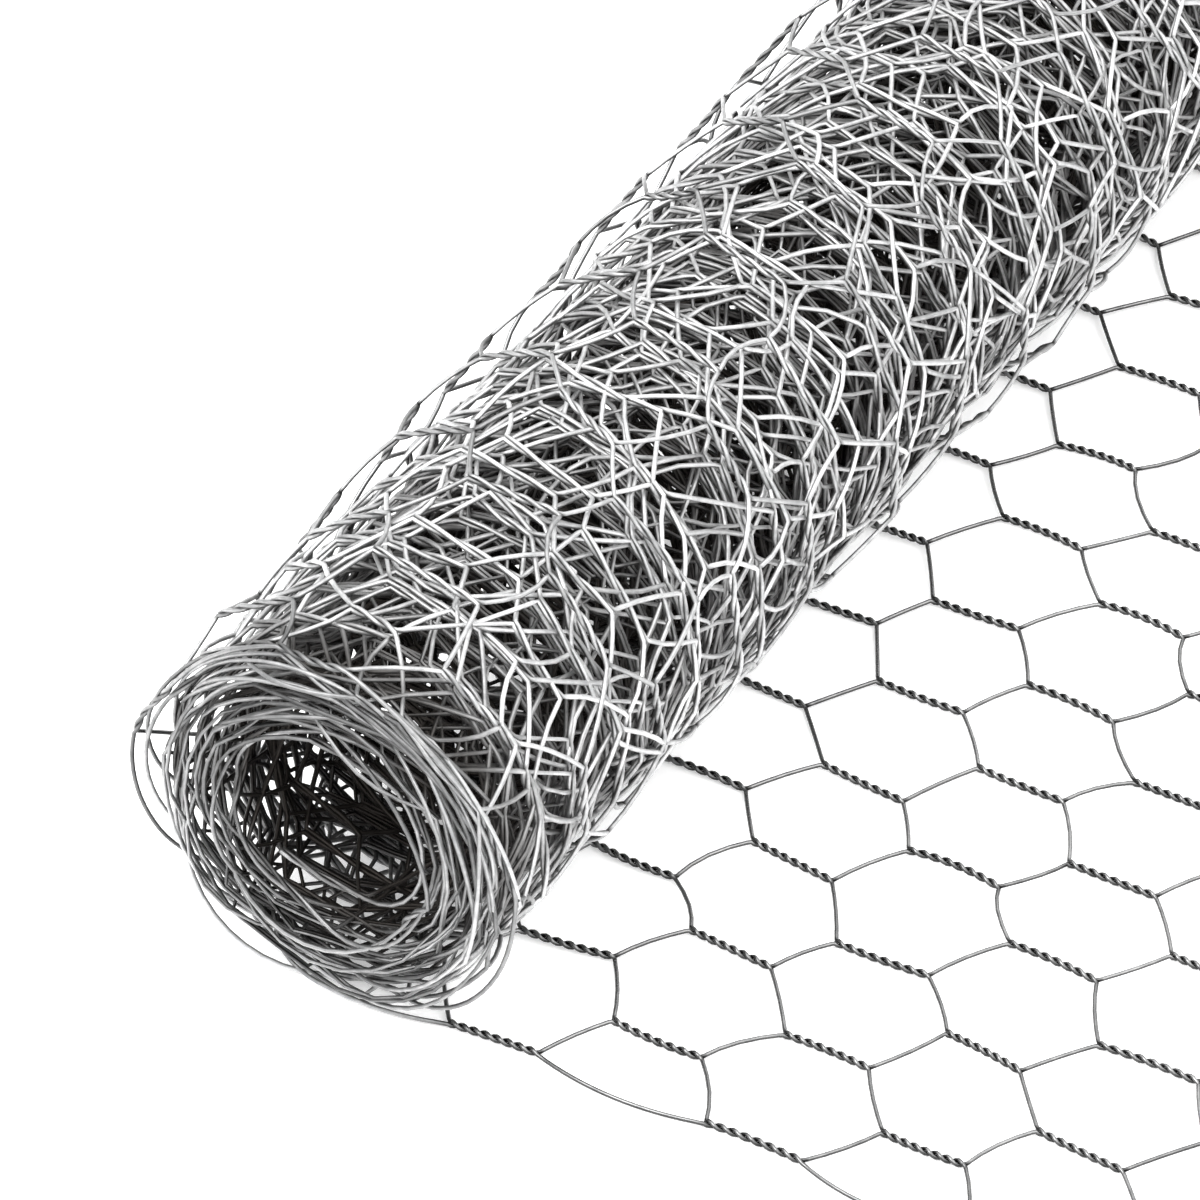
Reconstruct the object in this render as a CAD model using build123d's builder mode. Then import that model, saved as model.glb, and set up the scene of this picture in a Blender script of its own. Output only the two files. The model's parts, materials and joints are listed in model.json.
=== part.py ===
"""A roll of hexagonal wire netting, partly unrolled, as it lies on a level floor.

The roll's axis runs along Y and its near end is at -Y. The netting lies flat on the floor towards
+X. Under the roll it turns up and goes round it once as a slack turn, then joins the tight roll.
The origin is on the floor, under the middle of the whole object. All sizes are in millimetres.
"""
from build123d import *
from math import cos, degrees, floor, hypot, pi, radians, sin
import os

# Netting
wire_diameter = 1.1
mesh_width = 50.0        # across a mesh, from one twisted bar to the next
mesh_count = 18          # meshes across the width of the netting
twist_length = 35.1      # the twisted bars, which run along the netting
mesh_rise = 15.2         # how far along the netting a slanting wire runs between two twists
row_slant = 0.055        # how far a row of meshes falls back for each millimetre of width
selvage_bow = 5.0        # how far the edge wire bows out between its twists
netting_length = 10000.0

# Roll
wound_radius = 68.7
bore_radius = 33.0
turn_gap = 0.4           # the groove between two turns, as it shows on an end
turn_relief = 2.0        # and its depth

# Unrolled end
unrolled_rows = 3        # whole rows of meshes in front of the near corner's first twist
first_twist = 44.3       # from under the roll's axis to that twist

# Slack turn round the roll
tuck = 3.0               # how far behind the roll's lowest line it turns up
slack = 5.2              # how much larger its radius is than that of the roll under it
slack_sweep = 300.0      # degrees round from the floor to where it lands on the roll
edge_steps = 4           # straight runs in its bowed edge wire

# Worked out from the sizes above
column_step = mesh_width / 2
row_step = 2 * (twist_length + mesh_rise)
mesh_length = twist_length + 2 * mesh_rise
roll_width = mesh_count * mesh_width
columns = range(2 * mesh_count + 1)
half_wire = wire_diameter / 2
twist_diameter = 2 * wire_diameter
tail_length = first_twist + unrolled_rows * row_step + twist_length
turn_radius = wound_radius + twist_diameter / 2 + slack
turn_length = turn_radius * radians(slack_sweep)
roll_x = (tuck + turn_radius + twist_diameter / 2 - tail_length) / 2
roll_z = twist_diameter + wound_radius
tuck_x = roll_x - tuck
turn_z = twist_diameter / 2 + turn_radius
turn_pitch = pi * (wound_radius**2 - bore_radius**2) / (netting_length - tail_length - turn_length)
turn_count = round((wound_radius - bore_radius) / turn_pitch)


def place(along, column):
    """Gives the point on the floor for a distance along the netting and a column of twists."""
    across = column * column_step
    return (roll_x + first_twist + along - row_slant * across, across - roll_width / 2)


def twist_start(column, row):
    """Gives how far along the netting a twist starts. Odd columns lie half a row further on."""
    return (row + column % 2 / 2) * row_step


def tuck_line(column):
    """Gives how far along the netting the tuck crosses a column."""
    return row_slant * column * column_step - first_twist - tuck


def rows_of(column):
    """Lists a column's rows, from the one at the tuck to the netting's cut end."""
    return range(floor(tuck_line(column) / row_step - column % 2 / 2), unrolled_rows + 1 - column % 2)


def half_mesh(side):
    """Lists the corners of the half of a mesh at side 1 or -1, from the twist behind it."""
    fall = row_slant * side * column_step
    sides = [(mesh_rise - fall, side * column_step), (mesh_rise + twist_length - fall, side * column_step)]
    return [(0, 0), *sides, (mesh_length, 0)]


def edge_mesh(side, growth):
    """Makes a half mesh closed by the bowed edge wire, grown or shrunk by a half wire."""
    with BuildSketch() as shape:
        with BuildLine():
            Polyline(*half_mesh(side))
            ThreePointArc((mesh_length, 0), (mesh_length / 2, -side * selvage_bow), (0, 0))
        make_face()
        offset(amount=growth, kind=Kind.INTERSECTION)
    return shape.sketch


def mesh_places(chosen):
    """Lists where the meshes of the chosen columns start: at the end of the twist behind."""
    return [place(twist_start(k, n) - mesh_length, k) for k in chosen for n in rows_of(k)]


# The opening of one whole mesh
with BuildSketch() as opening:
    with BuildLine():
        Polyline(*half_mesh(1), *half_mesh(-1)[2:0:-1], close=True)
    make_face()
    offset(amount=-half_wire, kind=Kind.INTERSECTION)

# The netting seen from above: its slanting wires, with the openings cut out
front_margin = half_wire * hypot(mesh_rise, column_step) / column_step
front_line = [place(unrolled_rows * row_step - column % 2 * mesh_rise + front_margin, column) for column in columns]
back_x = tuck_x - mesh_length
with BuildSketch(Plane.XY.offset(half_wire)) as wires:
    with BuildLine():
        Polyline((back_x, -roll_width / 2), *front_line, (back_x, roll_width / 2), close=True)
    make_face()
    for edge, side in ((columns[0], 1), (columns[-1], -1)):
        with Locations(*mesh_places([edge])):
            add(edge_mesh(side, half_wire))
        with Locations(*mesh_places([edge])):
            add(edge_mesh(side, -half_wire), mode=Mode.SUBTRACT)
    with Locations(*mesh_places(columns[1:-1])):
        add(opening.sketch, mode=Mode.SUBTRACT)

# One twisted bar, six-sided, lying on the floor along X
with BuildPart() as twisted_bar:
    with BuildSketch(Plane.YZ):
        RegularPolygon(twist_diameter / 2, 6, major_radius=False)
    extrude(amount=twist_length)

# The flat netting: the wires with a thicker bar at each twist, cut off along the tuck
with BuildPart() as unrolled_netting:
    add(wires.sketch)
    extrude(amount=wire_diameter)
    twists = [(*place(twist_start(k, n), k), twist_diameter / 2) for k in columns for n in rows_of(k)]
    with Locations(*twists):
        add(twisted_bar.part)
    split(bisect_by=Plane(origin=(tuck_x, 0, 0), z_dir=(1, 0, 0)), keep=Keep.TOP)

# Pieces of the slack turn, each drawn at the turn's lowest line with the turn's axis along Y
with BuildPart() as curved_bar:
    with BuildSketch(Plane.YZ):
        with Locations((0, -turn_radius)):
            RegularPolygon(twist_diameter / 2, 6, major_radius=False)
    revolve(axis=Axis.Y, revolution_arc=-degrees(twist_length / turn_radius))


def on_turn(ahead, across):
    """Gives a point of the turn, ahead of its lowest line and across it."""
    angle = ahead / turn_radius
    return Vector(turn_radius * sin(angle), across, -turn_radius * cos(angle))


def bent_wire(points):
    """Makes a square wire along the turn through the given places ahead and across."""
    stops = [on_turn(*point) for point in points]
    with BuildPart() as wire:
        for start, end in zip(stops, stops[1:]):
            run = (end - start).normalized()
            with BuildSketch(Plane(origin=start - run * half_wire, x_dir=(0, 0, 1), z_dir=run)):
                Rectangle(wire_diameter, wire_diameter)
            extrude(amount=(end - start).length + wire_diameter)
    return wire.part


slanting = {side: bent_wire([(0, 0), half_mesh(side)[1]]) for side in (1, -1)}
bows = [(step / edge_steps, 4 * step * (edge_steps - step) / edge_steps**2) for step in range(edge_steps + 1)]
edging = {side: bent_wire([(f * mesh_length, -side * bow * selvage_bow) for f, bow in bows]) for side in (1, -1)}

# Where they go: each with its distance back from the tuck and its length forward again
turn_pieces = []
for column in columns:
    front_row = rows_of(column)[0]
    for row in range(front_row - floor(turn_length / row_step), front_row + 1):
        back = tuck_line(column) - twist_start(column, row)
        if back > turn_length:
            continue
        turn_pieces.append((curved_bar.part, column, back, twist_length))
        for side in (1, -1):
            if column + side in columns:
                turn_pieces.append((slanting[side], column, back - twist_length, half_mesh(side)[1][0]))
            else:
                turn_pieces.append((edging[-side], column, back - twist_length, mesh_length))


def on_roll(shape, column, back):
    """Turns a piece back round the roll from the tuck and moves it to its column."""
    middle = (tuck_x, column * column_step - roll_width / 2, turn_z)
    return shape.moved(Location(middle, (0, degrees(back / turn_radius), 0)))


# The pieces that cross the tuck are cut off along it, where the flat netting begins
with BuildPart() as turn_foot:
    add([on_roll(shape, column, back) for shape, column, back, length in turn_pieces if 0 < back <= length])
    split(bisect_by=Plane(origin=(tuck_x, 0, 0), z_dir=(-1, 0, 0)), keep=Keep.TOP)

with BuildPart() as slack_turn:
    add([on_roll(shape, column, back) for shape, column, back, length in turn_pieces if back > length])
    add(turn_foot.solids())

# The wound roll: a turned body with its bore, and a groove on each end between turn and turn
section = Plane(origin=(roll_x, 0, roll_z), x_dir=(0, 1, 0), z_dir=(1, 0, 0))
with BuildPart() as rolled_netting:
    with BuildSketch(section):
        with Locations((0, (wound_radius + bore_radius) / 2)):
            Rectangle(roll_width, wound_radius - bore_radius)
        groove_y = (roll_width - turn_relief) / 2
        gaps = [bore_radius + turn * (wound_radius - bore_radius) / turn_count for turn in range(1, turn_count)]
        with Locations(*[(end * groove_y, gap) for end in (-1, 1) for gap in gaps]):
            Rectangle(turn_relief, turn_gap, mode=Mode.SUBTRACT)
    revolve(axis=Axis((roll_x, 0, roll_z), (0, 1, 0)))

rolled_netting.part.label = "rolled_netting"
slack_turn.part.label = "slack_turn"
unrolled_netting.part.label = "unrolled_netting"

os.makedirs("parts", exist_ok=True)
export_step(rolled_netting.part, "parts/rolled_netting.step")
export_step(slack_turn.part, "parts/slack_turn.step")
export_step(unrolled_netting.part, "parts/unrolled_netting.step")
print("turns", turn_count, "roll axis at x", round(roll_x, 2), "z", round(roll_z, 2))
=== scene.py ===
"""Dresses the roll of hexagonal wire netting: every wire of every turn, its zinc finish with painted shade,
and a studio.

The netting is laid out flat, wire by wire, as distances along it, across it and above it. A route
then takes it over the floor, round the slack turn and down the spiral of the tight turns.
"""

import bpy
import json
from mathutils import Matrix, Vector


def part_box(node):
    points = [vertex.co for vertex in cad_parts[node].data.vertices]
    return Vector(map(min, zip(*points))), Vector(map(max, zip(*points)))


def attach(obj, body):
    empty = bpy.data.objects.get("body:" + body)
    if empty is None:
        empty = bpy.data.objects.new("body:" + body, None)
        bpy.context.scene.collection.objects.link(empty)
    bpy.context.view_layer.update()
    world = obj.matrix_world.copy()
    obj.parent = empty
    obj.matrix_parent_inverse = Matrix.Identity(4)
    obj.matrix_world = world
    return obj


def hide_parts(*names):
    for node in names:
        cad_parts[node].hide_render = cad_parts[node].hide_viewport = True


bl_info = {
    "name": "Roll of Wire Netting",
    "version": (1, 0, 0),
    "blender": (4, 5, 0),
    "location": "3D View > Sidebar > Netting",
    "description": "Builds the wires, finish and studio of a partly unrolled roll of wire netting",
    "category": "Object",
}

import json
import math

import bpy
import numpy as np
from bpy.props import FloatProperty, FloatVectorProperty, IntProperty, PointerProperty
from mathutils import Vector

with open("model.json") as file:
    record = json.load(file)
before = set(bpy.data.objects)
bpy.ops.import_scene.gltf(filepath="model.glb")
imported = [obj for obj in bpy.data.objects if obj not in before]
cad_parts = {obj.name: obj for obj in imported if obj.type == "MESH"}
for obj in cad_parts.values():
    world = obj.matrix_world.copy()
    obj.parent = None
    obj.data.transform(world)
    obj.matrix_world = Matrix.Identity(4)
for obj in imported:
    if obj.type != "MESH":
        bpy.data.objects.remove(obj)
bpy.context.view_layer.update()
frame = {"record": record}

MM = 0.001
BODY = "root"

# Places and sizes that the solids give
bore = next(mount for mount in frame["record"]["mounts"] if mount["name"] == "bore")
roll_low, roll_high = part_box("rolled_netting")
turn_low, turn_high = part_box("slack_turn")
flat_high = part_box("unrolled_netting")[1]
AXIS_X, AXIS_Z = bore["pos_m"][0], bore["pos_m"][2]
BORE_RADIUS = bore["dims"]["r_mm"] * MM
WOUND_RADIUS = (roll_high.z - roll_low.z) / 2
WIDTH = roll_high.y - roll_low.y
TWIST_THICKNESS = flat_high.z
TURN_RADIUS = (turn_high.z - TWIST_THICKNESS) / 2
TURN_Z = turn_high.z / 2
TUCK_X = turn_low.x + turn_high.z / 2
CUT_END_X = flat_high.x


class NettingSizes(bpy.types.PropertyGroup):
    """Sizes of the netting itself, as it was woven."""

    wire: FloatProperty(
        name="Wire", description="Diameter of one wire", default=TWIST_THICKNESS / 2, unit="LENGTH")
    mesh: FloatProperty(
        name="Mesh", description="Width of a mesh between its twisted bars", default=50 * MM,
        unit="LENGTH")
    twist: FloatProperty(
        name="Twist", description="Length of a twisted bar", default=35.1 * MM, unit="LENGTH")
    rise: FloatProperty(
        name="Rise", description="Length of netting that a slanting wire takes up", default=15.2 * MM,
        unit="LENGTH")
    slant: FloatProperty(
        name="Slant", description="How far a row falls back for each metre of width", default=0.055)
    bow: FloatProperty(
        name="Edge bow", description="How far the edge wire bows out between its twists",
        default=5 * MM, unit="LENGTH")
    kink: FloatProperty(
        name="Kink", description="How far the slanting wires bend on the floor", default=1.3 * MM,
        unit="LENGTH")
    kink_wound: FloatProperty(
        name="Wound kink", description="How far they bend in the roll", default=1.7 * MM, unit="LENGTH")
    length: FloatProperty(
        name="Length", description="Length of the netting, with its unrolled end", default=10.0,
        unit="LENGTH")
    coat: FloatProperty(
        name="Flat coat", description="Thickness of the zinc on the flat netting", default=0.25 * MM,
        unit="LENGTH")
    coat_slack: FloatProperty(
        name="Slack coat", description="Thickness of the zinc on the slack turn", default=0.32 * MM,
        unit="LENGTH")
    coat_wound: FloatProperty(
        name="Wound coat", description="Thickness of the zinc on the tight turns", default=0.38 * MM,
        unit="LENGTH")
    edge_out: FloatProperty(
        name="Wide edges", description="How much wider the outermost meshes are", default=3 * MM,
        unit="LENGTH")
    unrolled: IntProperty(
        name="Unrolled rows", description="Rows of meshes in front of the near corner's first twist",
        default=3)


class WindingSizes(bpy.types.PropertyGroup):
    """How the netting is wound, and how far its wires stray."""

    sweep: FloatProperty(
        name="Slack turn", description="Angle of the slack turn, from the floor to where it lands",
        default=math.radians(300), subtype="ANGLE")
    stray_flat: FloatProperty(
        name="Stray on the floor", description="How far a twist's end strays from its place there",
        default=1.6 * MM, unit="LENGTH")
    stray_wound: FloatProperty(
        name="Stray in the roll", description="How far a twist's end strays from its place there",
        default=4.2 * MM, unit="LENGTH")
    lift: FloatProperty(
        name="Lift", description="How far a twist's end stands off its turn", default=1.5 * MM,
        unit="LENGTH")
    spring: FloatProperty(
        name="Spring", description="How far the wound edge wires spring up or down between twists",
        default=2.7 * MM, unit="LENGTH")
    stiff: FloatProperty(
        name="Stiffness", description="How straight the twists stay in the roll", default=0.8,
        subtype="FACTOR")
    swell: FloatProperty(
        name="Swell", description="Height of the waves in the wound netting", default=1.2 * MM,
        unit="LENGTH")
    ends: FloatProperty(
        name="Uneven ends", description="How far the turns slide past each other at the ends",
        default=5.0 * MM, unit="LENGTH")
    sway: FloatProperty(
        name="Sway", description="How far whole meshes lie off their place in the roll",
        default=9 * MM, unit="LENGTH")
    core: FloatProperty(
        name="Core", description="Radius of the innermost wires", default=BORE_RADIUS + 1 * MM,
        unit="LENGTH")
    packing: FloatProperty(
        name="Packing", description="Below 1 the outer turns lie closer together than the inner ones",
        default=0.65)
    seed: IntProperty(name="Seed", description="Picks which way each wire strays", default=7)


class FinishAndShade(bpy.types.PropertyGroup):
    """Colours of the zinc, and how strong the painted shade on it is."""

    bright: FloatVectorProperty(
        name="Bright zinc", description="Colour of clean zinc", default=(0.93, 0.93, 0.93),
        subtype="COLOR")
    dull: FloatVectorProperty(
        name="Dull zinc", description="Colour of weathered zinc", default=(0.6, 0.605, 0.61),
        subtype="COLOR")
    # Painted shade: the colour that wires deep in the roll and behind its ends are darkened to, where shade
    # falls.
    deep: FloatVectorProperty(
        name="Deep shade", description="Colour of the wires deep in the roll",
        default=(0.034, 0.030, 0.027), subtype="COLOR")
    # Painted shade: the share of the deep painted shade that the wires at the roll's ends keep.
    rim: FloatProperty(
        name="Rim", description="How dark the wires at the roll's ends are, beside those inside it",
        default=0.14, subtype="FACTOR")
    # Painted shade: the unrolled netting is darkened as a whole, and the slack turn in part.
    unrolled_shade: FloatProperty(
        name="Unrolled shade", description="How much darker the unrolled netting is", default=0.67,
        subtype="FACTOR")
    # Painted shade where the two wires of a twist meet.
    groove_shade: FloatProperty(
        name="Groove shade", description="How much darker the wires are where they meet in a twist",
        default=1.0, subtype="FACTOR")
    uneven: FloatProperty(
        name="Uneven", description="How much darker than others some stretches of wire are",
        default=0.42, subtype="FACTOR")
    # Painted shade at the roll's ends, heavier towards their top.
    ends: FloatProperty(
        name="End shade", description="How much darker the wires are at the roll's ends", default=0.42,
        subtype="FACTOR")
    # Painted shade on the wires' sides and undersides, where less light falls.
    under_shade: FloatProperty(
        name="Underside shade", description="How much darker the wires are underneath", default=0.9,
        subtype="FACTOR")


class StudioSizes(bpy.types.PropertyGroup):
    """Floor, lights and camera."""

    floor: FloatVectorProperty(
        name="Floor", description="Colour of the floor", default=(0.86, 0.86, 0.86), subtype="COLOR")
    glow: FloatProperty(name="Glow", description="How brightly the floor lights itself", default=0.4)
    above: FloatProperty(name="Above", description="Brightness of the sky overhead", default=2.42)
    horizon: FloatProperty(name="Horizon", description="Brightness of the sky low down", default=0.15)
    azimuth: FloatProperty(
        name="Azimuth", description="Camera's angle round the roll", default=math.radians(30.8),
        subtype="ANGLE")
    elevation: FloatProperty(
        name="Elevation", description="Camera's angle above the floor", default=math.radians(40.2),
        subtype="ANGLE")
    distance: FloatProperty(
        name="Distance", description="From the camera to the point it looks at", default=3.059,
        unit="LENGTH")
    lens: FloatProperty(
        name="Lens", description="Focal length in millimetres", default=255.66)


def sizes():
    """Gives the scene's settings."""
    scene = bpy.context.scene
    return scene.netting_sizes, scene.winding_sizes, scene.finish_colours, scene.studio_sizes


# The route of the netting, seen along the roll

def first_twist_x():
    """Gives where the near edge's first twist in front of the roll starts."""
    netting = sizes()[0]
    return CUT_END_X - netting.twist - netting.unrolled * 2 * (netting.twist + netting.rise)


def back_from_tuck(along, across):
    """Gives how far back from the tuck a place on the netting is."""
    return TUCK_X - first_twist_x() - along + sizes()[0].slant * across


def smooth(value, low, high):
    """Rises smoothly from 0 at one value to 1 at another."""
    share = np.clip((value - low) / (high - low), 0, 1)
    return share * share * (3 - 2 * share)


class Route:
    """The line that the netting follows from the tuck, by its distance back along the netting."""

    STEP = math.radians(1)       # from one point of the line to the next
    LANDING = 1.2 * MM           # how far off the roll the slack turn comes down
    SETTLE = 0.5                 # radians that it takes to lie on the roll
    INNER_LOOSE = 1.1            # turns of the loose inner end
    INNER_DROP = 16 * MM         # how far that end springs into the bore

    CLOSE = 3.5 * MM             # how much closer to the roll than round the slack turn's top lies
    CLOSE_END = 4.5 * MM         # and how much more at the near end
    CLOSE_LOW = 3 * MM           # and low down there
    CLOSE_WIDTH = 60 * MM        # width of netting that this takes in

    # Degrees round from the floor between which the slack turn comes closer, and goes out again
    CLOSING = (85, 125)
    END_CLOSING = (95, 115)
    LEAVING = (220, 290)
    LOW_CLOSING = (8, 24)
    LOW_LEAVING = (42, 60)

    # Shares of the slack turn: where its waves begin, over what they grow, and where meshes begin to sway
    WAVY_FROM = 0.15
    WAVY_OVER = 0.3
    SWAY_FROM = 0.3

    # Lengths of the random waves: in height, of the sliding ends, and of meshes aside and along
    SWELL_WAVE = 45 * MM
    SLIDE_WAVE = 90 * MM
    SWAY_WAVE = 120 * MM
    DRIFT_WAVE = 140 * MM

    WAVE_KINDS = 4
    WAVES = 8                    # waves that are summed in each kind
    SLOWEST = 0.4                # rate of the slowest wave along the netting
    CROSSWISE = 1.3              # rate of the quickest wave across it
    PHASES = 9                   # radians by which a wave may be moved
    WAVE_HEIGHT = 1.4            # brings the sum to a height of about one

    def __init__(self):
        netting, winding = sizes()[:2]
        round_turn = np.arange(0, winding.sweep, self.STEP)
        slack_x = TUCK_X - TURN_RADIUS * np.sin(round_turn)
        slack_z = TURN_Z - TURN_RADIUS * np.cos(round_turn)
        slack = np.stack([slack_x, slack_z], 1)
        last_x = TUCK_X - TURN_RADIUS * math.sin(winding.sweep) - AXIS_X
        last_z = TURN_Z - TURN_RADIUS * math.cos(winding.sweep) - AXIS_Z
        start = math.atan2(-last_x, -last_z) % (2 * math.pi)
        outer = math.hypot(last_x, last_z) - self.LANDING
        self.slack_length = TURN_RADIUS * winding.sweep
        wound_length = netting.length - self.slack_length - (CUT_END_X - TUCK_X)
        mean_radius = winding.core + (outer - winding.core) / (1 + winding.packing)
        turns = wound_length / (2 * math.pi * mean_radius)
        angle = np.arange(0, 2 * math.pi * turns, self.STEP)
        left = 1 - angle / (2 * math.pi * turns)
        radius = winding.core + (outer - winding.core) * left**winding.packing
        radius = radius + self.LANDING * np.exp(-angle / self.SETTLE)
        loose = np.clip(angle / (2 * math.pi) - turns + self.INNER_LOOSE, 0, None) / self.INNER_LOOSE
        radius = radius - self.INNER_DROP * loose**2
        angle = angle + start
        tight = np.stack([AXIS_X - radius * np.sin(angle), AXIS_Z - radius * np.cos(angle)], 1)
        points = np.concatenate([slack, tight])
        steps = np.linalg.norm(np.diff(points, axis=0), axis=1)
        self.points = points
        self.back = np.concatenate([[0], np.cumsum(steps)])
        run = np.gradient(points, axis=0)
        run /= np.linalg.norm(run, axis=1)[:, None]
        self.inward = np.stack([run[:, 1], -run[:, 0]], 1)
        self.end = self.back[-1]
        chance = np.random.default_rng(winding.seed)
        self.wave = chance.uniform(-1, 1, (self.WAVE_KINDS, self.WAVES, 4))

    def bend(self, back):
        """Gives how sharply the netting bends there, as one over the radius."""
        out = np.hypot(self.points[:, 0] - AXIS_X, self.points[:, 1] - AXIS_Z)
        return np.where(back > 0, 1 / np.interp(back, self.back, out), 0)

    def waves(self, kind, back, across, size):
        """Gives a smooth random height of about one at each place. Each kind has waves of its own."""
        total = np.zeros(np.broadcast(back, across).shape)
        for lengthwise, crosswise, phase, other in self.wave[kind]:
            rate = lengthwise + math.copysign(self.SLOWEST, lengthwise)
            along_it = np.sin(rate * back / size + phase * self.PHASES)
            across_it = np.cos(crosswise * across / size * self.CROSSWISE + other * self.PHASES)
            total += along_it * across_it
        return total / math.sqrt(self.WAVES) * self.WAVE_HEIGHT

    def closer(self, back, across):
        """Gives how much closer to the roll than round the slack turn lies."""
        angle = np.degrees(back / TURN_RADIUS)
        leaving = 1 - smooth(angle, *self.LEAVING)
        low_down = smooth(angle, *self.LOW_CLOSING) * (1 - smooth(angle, *self.LOW_LEAVING))
        at_end = low_down * self.CLOSE_LOW + smooth(angle, *self.END_CLOSING) * leaving * self.CLOSE_END
        everywhere = self.CLOSE * smooth(angle, *self.CLOSING) * leaving
        return everywhere + at_end * np.exp(-across / self.CLOSE_WIDTH)

    def place(self, along, across, height):
        """Takes places on the netting to places in the frame, and gives the way its upper side faces."""
        netting, winding = sizes()[:2]
        back = back_from_tuck(along, across)
        wound = np.clip((back / self.slack_length - self.WAVY_FROM) / self.WAVY_OVER, 0, 1)
        height = height + wound * winding.swell * self.waves(0, back, across, self.SWELL_WAVE)
        height = height + self.closer(back, across)
        rolled = np.clip(back / self.slack_length - self.SWAY_FROM, 0, 1)
        middle = 1 - (2 * across / WIDTH - 1)**4
        slide = winding.ends * self.waves(1, back, 0 * across, self.SLIDE_WAVE)
        sway = winding.sway * middle * self.waves(2, back, across, self.SWAY_WAVE)
        drift = winding.sway * self.waves(3, back, across, self.DRIFT_WAVE)
        back = back + rolled * drift
        across = across + rolled * (slide + sway)
        found = np.clip(back, 0, None)
        x, z = (np.interp(found, self.back, self.points[:, i]) for i in (0, 1))
        up_x, up_z = (np.interp(found, self.back, self.inward[:, i]) for i in (0, 1))
        x = np.where(back < 0, TUCK_X - back, x)
        z = np.where(back < 0, TWIST_THICKNESS / 2 + netting.coat, z)
        up_x = np.where(back < 0, 0, up_x)
        up_z = np.where(back < 0, 1, up_z)
        coat = netting.coat + wound * (netting.coat_wound - netting.coat)
        z = np.maximum(z + up_z * height, netting.wire / 2 + coat)
        spots = np.stack([x + up_x * height, across - WIDTH / 2, z], -1)
        return spots, np.stack([up_x, 0 * up_x, up_z], -1)


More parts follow.
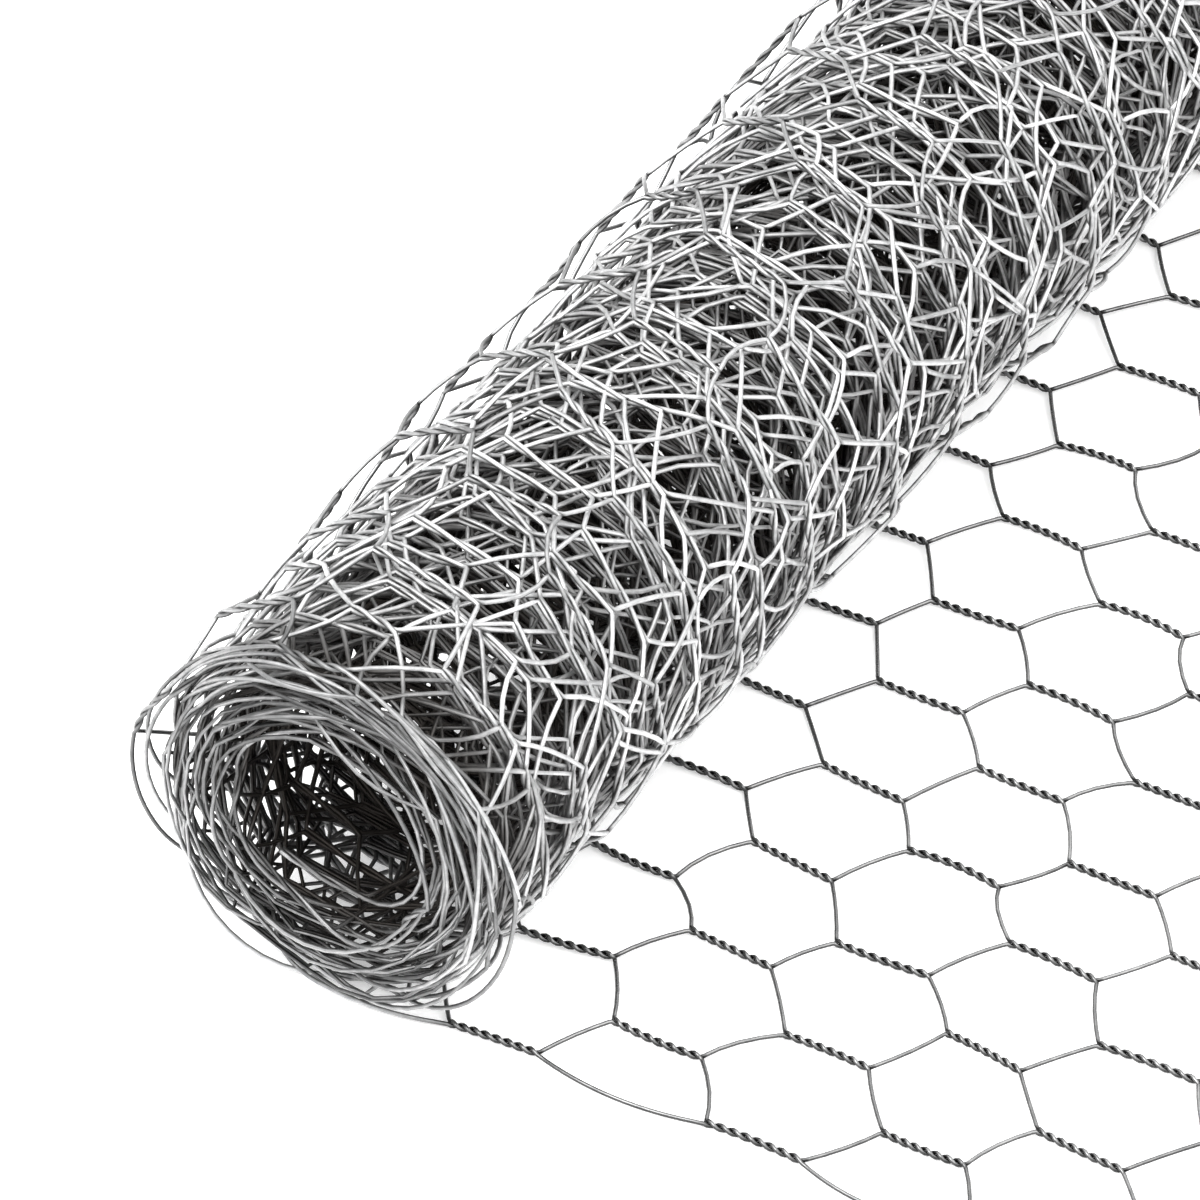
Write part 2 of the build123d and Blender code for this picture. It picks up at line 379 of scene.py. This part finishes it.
class Weave:
    """The wires of the netting, laid out flat with what strays from its place."""

    MOST_STRAY = 2               # random strays go up to this many times their usual size
    WOUND_OVER = 60 * MM         # length behind the tuck over which the netting turns into wound netting
    COAT_TURNS = (0, 0.2, 0.9, 1.1)   # where the coat changes, back from the tuck in slack turns
    STRAY_ACROSS = 0.8           # the part of their stray that twist ends have across the netting
    EDGE_LIFT = 0.6              # how much more lift the edges' twist ends have in the roll
    FLAT_LIFT = 0.5              # the part of the lift that twist ends have on the floor
    TWIST_CLOSER = 0.2           # how much closer together the two wires of a wound twist lie
    SAG_ACROSS = 0.8 * MM        # how far twists bend aside
    SAG_UP = 0.3 * MM            # and up
    KINK_UP = 0.5                # the share of a slanting wire's kink that it also has up or down
    BOW_SWING = 0.25             # how far the edge bows differ on the floor; it is twice that in the roll

    # The near edge's loose loop, low on the slack turn's back
    LOOP_ROW = -4                # the loop lies in front of this row
    LOOP = 0.5 * MM              # how far it stands off the slack turn
    LOOP_BEHIND = 1.6            # times that at its back end
    LOOP_AHEAD = 0.4             # and at its front end
    LOOP_STRAY = ((1.2, 0, 0), (0.3, 0, -1))   # how its row's twist strays, in place of at random
    LOOP_SAG = (0, 0)            # how that twist and the loop bend
    BEHIND_SAG = (-1.4, 0.5)     # and how the next twist and bow behind it do

    def __init__(self, route):
        netting, winding = sizes()[:2]
        self.route = route
        self.step = netting.twist + netting.rise
        self.columns = 2 * round(WIDTH / netting.mesh) + 1
        self.last_row = 2 * netting.unrolled
        reach = first_twist_x() - TUCK_X + route.end
        self.first_row = -2 * int(reach / self.step / 2)
        chance = np.random.default_rng(winding.seed + 1)
        rows = self.last_row - self.first_row + 2
        most = self.MOST_STRAY
        self.stray = chance.normal(0, 1, (self.columns + 2, rows, 2, 3)).clip(-most, most)
        self.sag = chance.normal(0, 1, (self.columns + 2, rows, 2)).clip(-most, most)
        loop = self.LOOP_ROW - self.first_row
        self.stray[1, loop] = self.LOOP_STRAY
        self.sag[1, loop] = self.LOOP_SAG
        self.sag[1, loop - 2] = self.BEHIND_SAG

    def wound_share(self, along, across):
        """Gives 0 on the floor and 1 in the roll."""
        return np.clip(back_from_tuck(along, across) / self.WOUND_OVER, 0, 1)

    def radius(self, along, across):
        """Gives the radius of a wire with its zinc. At the edges that is as thin as on the floor."""
        netting = sizes()[0]
        turns = back_from_tuck(along, across) / self.route.slack_length
        coats = [netting.coat, netting.coat_slack, netting.coat_slack, netting.coat_wound]
        coat = np.interp(turns, self.COAT_TURNS, coats)
        from_edge = np.minimum(across, WIDTH - across)
        inner = smooth(from_edge, 0, netting.mesh / 2)
        return netting.wire / 2 + netting.coat + (coat - netting.coat) * inner

    def twist_end(self, column, row, end):
        """Gives the middle of a twist's back end, 0, or front end, 1: along, across and height."""
        netting, winding = sizes()[:2]
        at_far_edge = (column == self.columns - 1) * 1.0
        at_near_edge = (column == 0) * 1.0
        along = row * self.step + end * netting.twist
        across = column * netting.mesh / 2 + netting.edge_out * (at_far_edge - at_near_edge)
        wound = self.wound_share(along, across)
        stray = self.stray[column + 1, row - self.first_row, end]
        aside = winding.stray_flat + wound * (winding.stray_wound - winding.stray_flat)
        along = along + aside * stray[..., 0]
        across = across + self.STRAY_ACROSS * aside * stray[..., 1]
        off_turn = wound * stray[..., 2] * (1 + self.EDGE_LIFT * (at_far_edge + at_near_edge))
        off_floor = (1 - wound) * self.FLAT_LIFT * np.abs(stray[..., 2])
        return np.stack([along, across, winding.lift * (off_turn + off_floor)], -1)

    def twist_wires(self, column, row, side, steps, turns):
        """Lays one wire of a twist. side is -1 or 1, across the netting.

        Each place is along, across and height, then which way the twist's middle is: across and up.
        """
        netting, winding = sizes()[:2]
        share = np.linspace(0, 1, steps + 1)
        start, stop = (self.twist_end(column, row, end)[..., None, :] for end in (0, 1))
        line = start + (stop - start) * share[:, None]
        arch = share * (1 - share) * 4
        turn = 2 * math.pi * turns * share
        closing = 1 - self.TWIST_CLOSER * self.wound_share(line[..., 0], line[..., 1])
        spread = closing * self.radius(line[..., 0], line[..., 1]) * side[..., None]
        sag = self.sag[column + 1, row - self.first_row][..., None, :] * arch[:, None]
        chord = self.route.bend(back_from_tuck(line[..., 0], line[..., 1])) * netting.twist**2 / 8 * arch
        line[..., 1] += spread * np.cos(turn) + sag[..., 0] * self.SAG_ACROSS
        line[..., 2] += spread * np.sin(turn) + np.abs(sag[..., 1]) * self.SAG_UP + winding.stiff * chord
        middle = -side[..., None, None] * np.stack([np.cos(turn), np.sin(turn)], -1)
        return np.concatenate([line, middle], -1)

    def wires(self, rows, twist_steps, slant_shares, turns):
        """Lays the netting's inner wires over some rows, each as one line of places."""
        netting = sizes()[0]
        numbers = np.arange(1, self.columns)[:, None]
        row = np.array(rows)[None, :]
        column = numbers - (numbers - row) % 2
        side = np.where(column == numbers, -1, 1)
        line = self.twist_wires(column, row, side, twist_steps, turns)
        ahead_row = np.minimum(row + 1, self.last_row)
        ahead_column = numbers - (numbers - ahead_row) % 2
        ahead_side = np.where(ahead_column == numbers, -1, 1)
        ahead = self.twist_end(ahead_column, ahead_row, 0)
        ahead[..., 1] += netting.wire / 2 * ahead_side
        here = line[:, :, -1, :3]
        share = np.array(slant_shares)[:, None]
        slant = here[:, :, None, :] + (ahead - here)[:, :, None, :] * share
        bend = self.sag[column + 1, row - self.first_row][:, :, None, :] * (share * (1 - share) * 4)
        wound = self.wound_share(slant[..., 0], slant[..., 1])
        kink = netting.kink + wound * (netting.kink_wound - netting.kink)
        slant[..., 0] += bend[..., 0] * kink * side[:, :, None]
        upward = wound + (1 - wound) * np.sign(bend[..., 1])
        slant[..., 2] += bend[..., 1] * self.KINK_UP * kink * upward
        whole_lines = np.concatenate([line, with_middle(slant)], 2).reshape(len(numbers), -1, 5)
        if rows[-1] == self.last_row:
            return whole_lines[:, :-len(slant_shares)]
        return np.concatenate([whole_lines, with_middle(ahead[:, -1:, :])], 1)

    def edge_wire(self, near, rows, twist_steps, bow_steps, turns):
        """Lays an edge wire: it twists in every other row and bows out between."""
        netting, winding = sizes()[:2]
        column = 0 if near else self.columns - 1
        out = -1 if near else 1
        columns, sides = np.array([column]), np.array([out])
        line = []
        for row in rows[::2]:
            twist = self.twist_wires(columns, np.array([row]), sides, twist_steps, turns)[0]
            line.append(twist)
            if row == self.last_row:
                break
            ahead = self.twist_end(columns, np.array([row + 2]), 0)[0]
            ahead[1] += out * netting.wire / 2
            share = np.linspace(0, 1, bow_steps + 1)[1:-1]
            pass_by = twist[-1, :3] + (ahead - twist[-1, :3]) * share[:, None]
            swing = self.sag[column + 1, row - self.first_row]
            bulge = share * (1 - share) * 4
            wound = self.wound_share(pass_by[:, 0], pass_by[:, 1])
            pass_by[:, 1] += out * netting.bow * (1 + self.BOW_SWING * (1 + wound) * swing[0]) * bulge
            pass_by[:, 2] += winding.spring * swing[1] * bulge * wound
            if near and row == self.LOOP_ROW:
                lean = self.LOOP_BEHIND + (self.LOOP_AHEAD - self.LOOP_BEHIND) * share
                pass_by[:, 2] -= self.LOOP * bulge * lean
            line.append(with_middle(pass_by))
        else:
            line.append(with_middle(ahead[None]))
        return np.concatenate(line)[None]


def with_middle(line):
    """Adds the missing way to a twist's middle to places on single wires."""
    return np.concatenate([line, np.zeros((*line.shape[:-1], 2))], -1)


# Meshes

TONE_STEP = 10               # places on a wire from one random tone to the next

# How finely a stretch of netting is made: the steps in a twist, the shares of a slanting wire at which
# it has places, the steps in an edge bow, the sides of a wire and the turns of a twist
FINE = {"twist": 32, "slant": (0.05, 0.24, 0.5, 0.76, 0.95), "bow": 16, "sides": 6, "turns": 4}
SLACK = {"twist": 24, "slant": (0.05, 0.24, 0.5, 0.76, 0.95), "bow": 16, "sides": 6, "turns": 2}
MIDDLE = {"twist": 14, "slant": (0.06, 0.35, 0.65, 0.94), "bow": 12, "sides": 5, "turns": 1}
COARSE = {"twist": 8, "slant": (0.1, 0.5, 0.9), "bow": 10, "sides": 4, "turns": 1}
ROUGH = {"twist": 4, "slant": (0.5,), "bow": 6, "sides": 3, "turns": 0}

# Rows at which a piece of netting starts, counted from the near edge's first twist in front of the roll
FLAT_ROW = -2
SLACK_ROW = -10

# The pieces of the tight turns, from the outside in: each with its rows, as far as there are any
TIGHT_PIECES = (
    ("outer_turns", 24, MIDDLE),
    ("under_turns", 48, COARSE),
    ("middle_turns", 52, ROUGH),
    ("deep_turns", 30, ROUGH),
    ("inner_turns", 200, COARSE),
)


def tube(line, ups, radius, sides, middle):
    """Makes the rings of round wires along lines of places, and how far each corner faces into its twist,
    for painted shade.
    """
    run = np.gradient(line, axis=1)
    run /= np.linalg.norm(run, axis=-1, keepdims=True)
    up = ups - (ups * run).sum(-1, keepdims=True) * run
    up /= np.linalg.norm(up, axis=-1, keepdims=True)
    aside = np.cross(run, up)
    angle = 2 * math.pi * (np.arange(sides) + 0.5) / sides
    ring = up[:, :, None] * np.cos(angle)[:, None] + aside[:, :, None] * np.sin(angle)[:, None]
    inward = middle[..., :1] * np.array([0, 1, 0]) + middle[..., 1:] * ups
    groove_shade = np.clip((ring * inward[:, :, None]).sum(-1), 0, 1)
    return line[:, :, None] + radius[:, :, None, None] * ring, groove_shade


def wire_mesh(name, tubes, shades, material):
    """Joins rings of wires into one mesh, with a map that gives each run of wire its own strip."""
    runs = sum(rings.shape[0] * (rings.shape[1] - 1) for rings in tubes)
    sides_most = max(rings.shape[2] for rings in tubes)
    wide = math.ceil(math.sqrt(runs * sides_most))
    high = math.ceil(runs / wide)
    spots, quads, caps, maps = [], [], [], []
    count = 0
    laid = 0
    for rings in tubes:
        wires, length, sides = rings.shape[:3]
        number = count + np.arange(wires * length * sides).reshape(wires, length, sides)
        after = np.roll(number, -1, axis=2)
        quad = np.stack([number[:, :-1], after[:, :-1], after[:, 1:], number[:, 1:]], -1)
        quads.append(quad.reshape(-1, 4))
        strip = laid + np.arange(wires * (length - 1))
        u0 = np.repeat(strip % wide / wide, sides)
        v0 = np.repeat(strip // wide / high, sides) + np.tile(np.arange(sides) / sides / high, len(strip))
        u1, v1 = u0 + 1 / wide, v0 + 1 / (sides * high)
        maps.append(np.stack([u0, v0, u0, v1, u1, v1, u1, v0], -1).reshape(-1, 2))
        caps += [number[w, 0, ::-1] for w in range(wires)] + [number[w, -1] for w in range(wires)]
        spots.append(rings.reshape(-1, 3))
        count += wires * length * sides
        laid += wires * (length - 1)
    mesh = bpy.data.meshes.new(name)
    faces = np.concatenate(quads).tolist() + [cap.tolist() for cap in caps]
    mesh.from_pydata(np.concatenate(spots), [], faces)
    layer = mesh.uv_layers.new(name="OFBake")
    uv = np.zeros((len(mesh.loops), 2), np.float32)
    flat = np.concatenate(maps)
    uv[:len(flat)] = flat
    layer.uv.foreach_set("vector", uv.ravel())
    for kind, values in shades.items():
        mesh.attributes.new(kind, "FLOAT", "POINT").data.foreach_set("value", values.astype(np.float32))
    mesh.polygons.foreach_set("use_smooth", np.ones(len(mesh.polygons), bool))
    mesh.materials.append(material)
    mesh.update()
    piece = bpy.data.objects.new(name, mesh)
    bpy.context.scene.collection.objects.link(piece)
    return piece


def tones(line, chance):
    """Gives each place on some wires a random tone from 0 to 1 that changes evenly along the wire."""
    wires, places = line.shape[:2]
    values = chance.uniform(0, 1, (wires, places // TONE_STEP + 2))
    stops = np.arange(values.shape[1]) * TONE_STEP
    return np.stack([np.interp(np.arange(places), stops, value) for value in values])


def netting_piece(name, weave, rows, detail, material, node):
    """Makes the netting of some rows as one piece that stands for a solid."""
    chance = np.random.default_rng(sizes()[1].seed + 2)
    steps, turns, sides = detail["twist"], detail["turns"], detail["sides"]
    lines = [weave.wires(rows, steps, detail["slant"], turns)]
    lines += [weave.edge_wire(near, rows, steps, detail["bow"], turns) for near in (True, False)]
    tubes, grooves, toned = [], [], []
    for line in lines:
        spots, ups = weave.route.place(line[..., 0], line[..., 1], line[..., 2])
        radius = weave.radius(line[..., 0], line[..., 1])
        rings, groove_shade = tube(spots, ups, radius, sides, line[..., 3:])
        tubes.append(rings)
        grooves.append(groove_shade.ravel())
        toned.append(np.repeat(tones(line, chance), sides))
    # The first carries the painted shade where a twist's wires meet; the second is the wires' random tone.
    shades = {"groove_shade": np.concatenate(grooves), "tone": np.concatenate(toned)}
    piece = wire_mesh(name, tubes, shades, material)
    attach(piece, BODY)
    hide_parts(node)


# Materials

class Wired:
    """A value in a material: sums and products of such values add their own maths nodes."""

    def __init__(self, tree, socket):
        self.tree = tree
        self.socket = socket

    def math(self, operation, *values):
        """Adds a maths node."""
        return self.tree.node("ShaderNodeMath", {"operation": operation}, dict(enumerate(values)))

    def __add__(self, other):
        return self.math("ADD", self, other)

    __radd__ = __add__

    def __sub__(self, other):
        return self.math("SUBTRACT", self, other)

    def __rsub__(self, other):
        return self.math("SUBTRACT", other, self)

    def __mul__(self, other):
        return self.math("MULTIPLY", self, other)

    __rmul__ = __mul__

    def __truediv__(self, other):
        return self.math("DIVIDE", self, other)

    def __pow__(self, other):
        return self.math("POWER", self, other)

    def absolute(self):
        """Gives the value without its sign."""
        return self.math("ABSOLUTE", self)

    def clamp(self):
        """Keeps the value between 0 and 1."""
        return self.tree.node("ShaderNodeClamp", {}, {"Value": self})


class Material:
    """A material being wired up, by name."""

    def __init__(self, name):
        self.made = bpy.data.materials.new(name)
        self.made.use_nodes = True
        self.nodes = self.made.node_tree.nodes
        self.links = self.made.node_tree.links
        self.shader = self.nodes["Principled BSDF"]

    def node(self, kind, settings, values, output=0):
        """Adds a node of any kind, sets it up, joins its sockets and gives one output."""
        made = self.nodes.new(kind)
        for key, value in settings.items():
            setattr(made, key, value)
        self.join(made, values)
        return Wired(self, made.outputs[output])

    def join(self, made, values):
        """Links or sets a node's sockets."""
        for key, value in values.items():
            if isinstance(value, Wired):
                self.links.new(value.socket, made.inputs[key])
            else:
                made.inputs[key].default_value = value

    def parts(self, kind):
        """Gives the X, Y and Z of the surface's position or normal."""
        both = self.node("ShaderNodeNewGeometry", {}, {}, kind)
        apart = self.node("ShaderNodeSeparateXYZ", {}, {"Vector": both})
        return [Wired(self, output) for output in apart.socket.node.outputs]

    def attribute(self, name):
        """Gives a value that is stored at each corner of the mesh."""
        return self.node("ShaderNodeAttribute", {"attribute_name": name}, {}, "Fac")

    def noise(self, scale, detail):
        """Gives noise from 0 to 1 in the frame's own metres."""
        place = self.node("ShaderNodeNewGeometry", {}, {}, "Position")
        values = {"Vector": place, "Scale": scale, "Detail": detail}
        return self.node("ShaderNodeTexNoise", {}, values)

    def blend(self, share, first, second):
        """Mixes two colours."""
        values = {"Factor": share, "A": first, "B": second}
        return self.node("ShaderNodeMix", {"data_type": "RGBA"}, values, "Result")


def whole(colour):
    """Gives a colour with its alpha."""
    return (*colour, 1.0)


class ZincPattern:
    """How the zinc varies over the netting, and where shade is painted on it. A pair holds a value for the
    roll and one for the floor.
    """

    METALLIC = 0.92
    ROUGHNESS = (0.5, 0.2)
    CLOUDS = 240                 # clouds of dull zinc in a metre
    CLOUD_PART = 2.2             # how much they change the colour
    CLOUD_DETAIL = 3
    SPECKS = 1700                # specks in a metre
    SPECK_PART = 0.9             # how much they change the colour
    SPECK_DETAIL = 2
    SPECK_ROUGH = 0.2            # how much they change the roughness
    SPECK_HEIGHT = 0.1 * MM
    SPECK_BUMP = 0.25            # how strongly that height shows
    DULL_ROUGH = 0.1             # how much rougher dull zinc is than clean zinc

    FLOOR_FROM = 2 * MM          # how far off the tight turns the netting begins to look unrolled
    FLOOR_OVER = 14 * MM         # and over what distance
    UNDER_FROM = (0.3, 0.98)     # how dark the painted shade is on a surface that faces sideways
    UNDER_FALL = (0.9, 1.05)     # how much less dark the painted shade is where it faces up
    UNDER_PART = (0.5, 1.0)      # and how much of this painted shade there is
    GROOVE_SPREAD = 0.5          # below 1, the painted shade in the grooves of twists on the floor is wider

    # Distances from an end of the roll, inward
    END_FROM = -7 * MM           # wires that stand out this far have all of the rim's lessening of the deep painted shade
    END_OVER = 9 * MM            # and this distance further in they have none of it
    NEAR_OVER = 20 * MM          # the stretch of wound netting that has painted shade and more uneven tone
    BEHIND_FROM = 8 * MM         # the painted shade behind an end's wires fades from here
    BEHIND_TO = 34 * MM          # to here

    UNEVEN_END = 0.7             # how much more uneven than the rest the ends are
    END_LOW = 0.2                # how much of the ends' painted shade is at half their height
    END_TOP = 0.8                # and how much more at their top

    # Depths below the outside of the tight turns
    DEEP = 22 * MM               # depth at which the wires have the full deep painted shade
    DEEP_RISE = 0.78             # below 1, they darken quickly from the outside
    COVER_FROM = -2 * MM         # where the painted shade behind an end's wires begins
    COVER_OVER = 6 * MM          # over what depth it grows
    COVER_PART = 0.75            # and how dark it gets


def zinc(name, least=0.0, deep_shade_from=None):
    """Makes the zinc finish and its painted shade: over the unrolled netting at least so much, and deep in
    the roll from a radius inward.
    """
    colours = sizes()[2]
    made = Material(name)
    pattern = ZincPattern
    cloud = made.noise(pattern.CLOUDS, pattern.CLOUD_DETAIL) - 0.5
    speck = made.noise(pattern.SPECKS, pattern.SPECK_DETAIL) - 0.5
    share = (cloud * pattern.CLOUD_PART + speck * pattern.SPECK_PART + 0.5).clamp()
    colour = made.blend(share, whole(colours.dull), whole(colours.bright))

    right, along, high = made.parts("Position")
    right, high = right - AXIS_X, high - AXIS_Z
    radius = (right ** 2 + high ** 2) ** 0.5
    from_end = WIDTH / 2 - along.absolute()
    on_floor = ((radius - WOUND_RADIUS - pattern.FLOOR_FROM) / pattern.FLOOR_OVER).clamp()

    def either(wound, flat):
        """Goes from a value for the roll to one for the floor."""
        return on_floor * (flat - wound) + wound

    # Painted shade on the sides and undersides of the wires.
    out_x, _, out_z = made.parts("Normal")
    facing = either((out_x * right + out_z * high) / radius, out_z)
    beneath_shade = (either(*pattern.UNDER_FROM) - facing * either(*pattern.UNDER_FALL)).clamp()
    beneath_shade = beneath_shade * either(*pattern.UNDER_PART)
    # Painted shade where the wires of a twist meet, wider on the floor.
    groove_shade = made.attribute("groove_shade")
    groove_shade = either(groove_shade, groove_shade ** pattern.GROOVE_SPREAD)
    # Painted shade over the whole unrolled netting, and some of it on the slack turn.
    unrolled_shade = either(least, 1.0) * colours.unrolled_shade
    shade = (1 - unrolled_shade) * (1 - beneath_shade * colours.under_shade) * (1 - groove_shade * colours.groove_shade)

    # Painted shade near the roll's ends, heavier towards their top; the random tone is also more uneven
    # there.
    near_end = (1 - from_end / pattern.NEAR_OVER).clamp() * (1 - on_floor)
    top = (high / WOUND_RADIUS * pattern.END_TOP + pattern.END_LOW).clamp()
    uneven = near_end * ((1 - colours.uneven) * pattern.UNEVEN_END) + colours.uneven
    shade = shade * (1 - near_end * top * colours.ends) * (1 - made.attribute("tone") * uneven)
    scaled = {"Vector": colour, "Scale": shade}
    colour = made.node("ShaderNodeVectorMath", {"operation": "SCALE"}, scaled, "Vector")

    # Painted shade deep in the roll and behind the wires at its ends, where shade falls; the wires at the
    # ends get less of it.
    if deep_shade_from is not None:
        depth = deep_shade_from - radius
        at_end = 1 - ((from_end - pattern.END_FROM) / pattern.END_OVER).clamp()
        deep = (depth / pattern.DEEP).clamp() ** pattern.DEEP_RISE * (1 - at_end * (1 - colours.rim))
        covered = ((depth - pattern.COVER_FROM) / pattern.COVER_OVER).clamp()
        behind = ((pattern.BEHIND_TO - from_end) / (pattern.BEHIND_TO - pattern.BEHIND_FROM)).clamp()
        deep = deep + (1 - deep) * covered * behind * (1 - at_end) * pattern.COVER_PART
        colour = made.blend(deep, colour, whole(colours.deep))

    roughness = either(*pattern.ROUGHNESS) + speck * pattern.SPECK_ROUGH
    roughness = roughness + (1 - share) * pattern.DULL_ROUGH
    bump = {"Strength": pattern.SPECK_BUMP, "Distance": pattern.SPECK_HEIGHT, "Height": speck}
    made.join(made.shader, {
        "Base Color": colour,
        "Metallic": pattern.METALLIC,
        "Roughness": roughness.clamp(),
        "Normal": made.node("ShaderNodeBump", {}, bump),
    })
    return made.made


def plain(name, colour, roughness, glow):
    """Makes a plain matte material for the studio, with some light of its own to thin the shadows."""
    made = Material(name)
    made.join(made.shader, {
        "Base Color": whole(colour),
        "Roughness": roughness,
        "Emission Color": whole(colour),
        "Emission Strength": glow,
    })
    return made.made


# Operators

SLACK_UNROLLED_SHADE = 0.28         # how much of the unrolled netting's painted shade the slack turn has at least

shared = {}


def weave():
    """Gives the one layout of wires that all pieces share."""
    if "weave" not in shared:
        shared["weave"] = Weave(Route())
        # Both materials hold the zinc's own colours and painted shade.
        shared["surface"] = zinc("zinc_and_shade_surface", least=SLACK_UNROLLED_SHADE)
        shared["wound"] = zinc("zinc_and_shade_wound", deep_shade_from=WOUND_RADIUS)
    return shared["weave"]


class NETTING_OT_unrolled(bpy.types.Operator):
    """Make the flat netting in front of the roll"""

    bl_idname = "netting.unrolled"
    bl_label = "Unrolled netting"

    def execute(self, context):
        wires = weave()
        rows = range(FLAT_ROW, wires.last_row + 1)
        netting_piece("unrolled_wires", wires, rows, FINE, shared["surface"], "unrolled_netting")
        return {"FINISHED"}


class NETTING_OT_slack_turn(bpy.types.Operator):
    """Make the slack outermost turn"""

    bl_idname = "netting.slack_turn"
    bl_label = "Slack turn"

    def execute(self, context):
        wires = weave()
        rows = range(SLACK_ROW, FLAT_ROW)
        netting_piece("slack_wires", wires, rows, SLACK, shared["surface"], "slack_turn")
        return {"FINISHED"}


class NETTING_OT_tight_turns(bpy.types.Operator):
    """Make the tight turns, finest where they show"""

    bl_idname = "netting.tight_turns"
    bl_label = "Tight turns"

    def execute(self, context):
        wires = weave()
        stop = SLACK_ROW
        for name, rows, detail in TIGHT_PIECES:
            start = max(stop - rows, wires.first_row)
            netting_piece(name, wires, range(start, stop), detail, shared["wound"], "rolled_netting")
            stop = start
        return {"FINISHED"}


class NETTING_OT_studio(bpy.types.Operator):
    """Make the floor, the lights and the camera"""

    bl_idname = "netting.studio"
    bl_label = "Studio"

    FLOOR_SIZE = 60.0
    FLOOR_ROUGHNESS = 0.8
    LOOK_AT = Vector((-176.75 * MM, -236 * MM, 0.0))
    SENSOR = 36                  # width in millimetres
    SKY_LOW, SKY_HIGH = 0.15, 0.6    # heights in the sky between which it brightens

    # The lamps: place, width and power
    KEY = ((-0.9, -1.6, 2.6), 1.6, 60)
    FILL = ((1.8, -0.6, 1.9), 1.6, 18)

    def execute(self, context):
        studio = sizes()[3]
        scene = context.scene
        floor = self.floor(studio)
        world = bpy.data.worlds.new("studio")
        world.use_nodes = True
        self.sky(world.node_tree, studio)
        scene.world = world
        self.lamp("key", *self.KEY)
        self.lamp("fill", *self.FILL)
        scene.camera = self.camera(studio)
        scene.view_settings.view_transform = "Standard"
        return {"FINISHED"}

    def floor(self, studio):
        """Makes the pale floor."""
        half = self.FLOOR_SIZE / 2
        corners = [(-half, -half, 0), (half, -half, 0), (half, half, 0), (-half, half, 0)]
        mesh = bpy.data.meshes.new("floor")
        mesh.from_pydata(corners, [], [(0, 1, 2, 3)])
        mesh.materials.append(plain("floor", studio.floor, self.FLOOR_ROUGHNESS, studio.glow))
        floor = bpy.data.objects.new("floor", mesh)
        bpy.context.scene.collection.objects.link(floor)
        return floor

    def sky(self, tree, studio):
        """Makes a soft light that fades from straight above down to a darker horizon."""
        direction = tree.nodes.new("ShaderNodeTexCoord")
        apart = tree.nodes.new("ShaderNodeSeparateXYZ")
        fade = tree.nodes.new("ShaderNodeMapRange")
        tree.links.new(direction.outputs["Generated"], apart.inputs["Vector"])
        tree.links.new(apart.outputs["Z"], fade.inputs["Value"])
        levels = {"From Min": self.SKY_LOW, "From Max": self.SKY_HIGH,
                  "To Min": studio.horizon, "To Max": studio.above}
        for name, level in levels.items():
            fade.inputs[name].default_value = level
        tree.nodes["Background"].inputs["Color"].default_value = (1, 1, 1, 1)
        tree.links.new(fade.outputs["Result"], tree.nodes["Background"].inputs["Strength"])

    def lamp(self, name, place, size, power):
        """Adds a square soft lamp that looks at the roll."""
        data = bpy.data.lights.new(name, "AREA")
        data.size = size
        data.energy = power
        lamp = bpy.data.objects.new(name, data)
        lamp.location = place
        lamp.rotation_mode = "QUATERNION"
        lamp.rotation_quaternion = (Vector(place) - self.LOOK_AT).to_track_quat("Z", "Y")
        bpy.context.scene.collection.objects.link(lamp)

    def camera(self, studio):
        """Adds the camera at the photo's angle."""
        data = bpy.data.cameras.new("camera")
        data.sensor_width = self.SENSOR
        data.lens = studio.lens
        camera = bpy.data.objects.new("camera", data)
        round_it, up = studio.azimuth, studio.elevation
        level = math.cos(up)
        away = Vector((math.sin(round_it) * level, -math.cos(round_it) * level, math.sin(up)))
        camera.location = self.LOOK_AT + away * studio.distance
        camera.rotation_mode = "QUATERNION"
        camera.rotation_quaternion = away.to_track_quat("Z", "Y")
        bpy.context.scene.collection.objects.link(camera)
        return camera


class NETTING_PT_panel(bpy.types.Panel):
    """Lists the steps and their sizes."""

    bl_idname = "NETTING_PT_panel"
    bl_label = "Roll of netting"
    bl_space_type = "VIEW_3D"
    bl_region_type = "UI"
    bl_category = "Netting"

    def draw(self, context):
        for step in STEPS:
            self.layout.operator(step.bl_idname)
        for group in sizes():
            box = self.layout.box()
            for name in group.bl_rna.properties.keys():
                if name not in ("rna_type", "name"):
                    box.prop(group, name)


GROUPS = {
    "netting_sizes": NettingSizes,
    "winding_sizes": WindingSizes,
    "finish_colours": FinishAndShade,
    "studio_sizes": StudioSizes,
}
STEPS = (NETTING_OT_studio, NETTING_OT_unrolled, NETTING_OT_slack_turn, NETTING_OT_tight_turns)


def register():
    """Adds the classes and the scene's settings."""
    for group in (*GROUPS.values(), *STEPS, NETTING_PT_panel):
        bpy.utils.register_class(group)
    for name, group in GROUPS.items():
        setattr(bpy.types.Scene, name, PointerProperty(type=group))


def unregister():
    """Takes them away again."""
    for name in GROUPS:
        delattr(bpy.types.Scene, name)
    for group in (NETTING_PT_panel, *STEPS, *GROUPS.values()):
        bpy.utils.unregister_class(group)


def main():
    """Builds everything."""
    register()
    bpy.ops.netting.studio()
    bpy.ops.netting.unrolled()
    bpy.ops.netting.slack_turn()
    bpy.ops.netting.tight_turns()


if __name__ == "__main__":
    main()
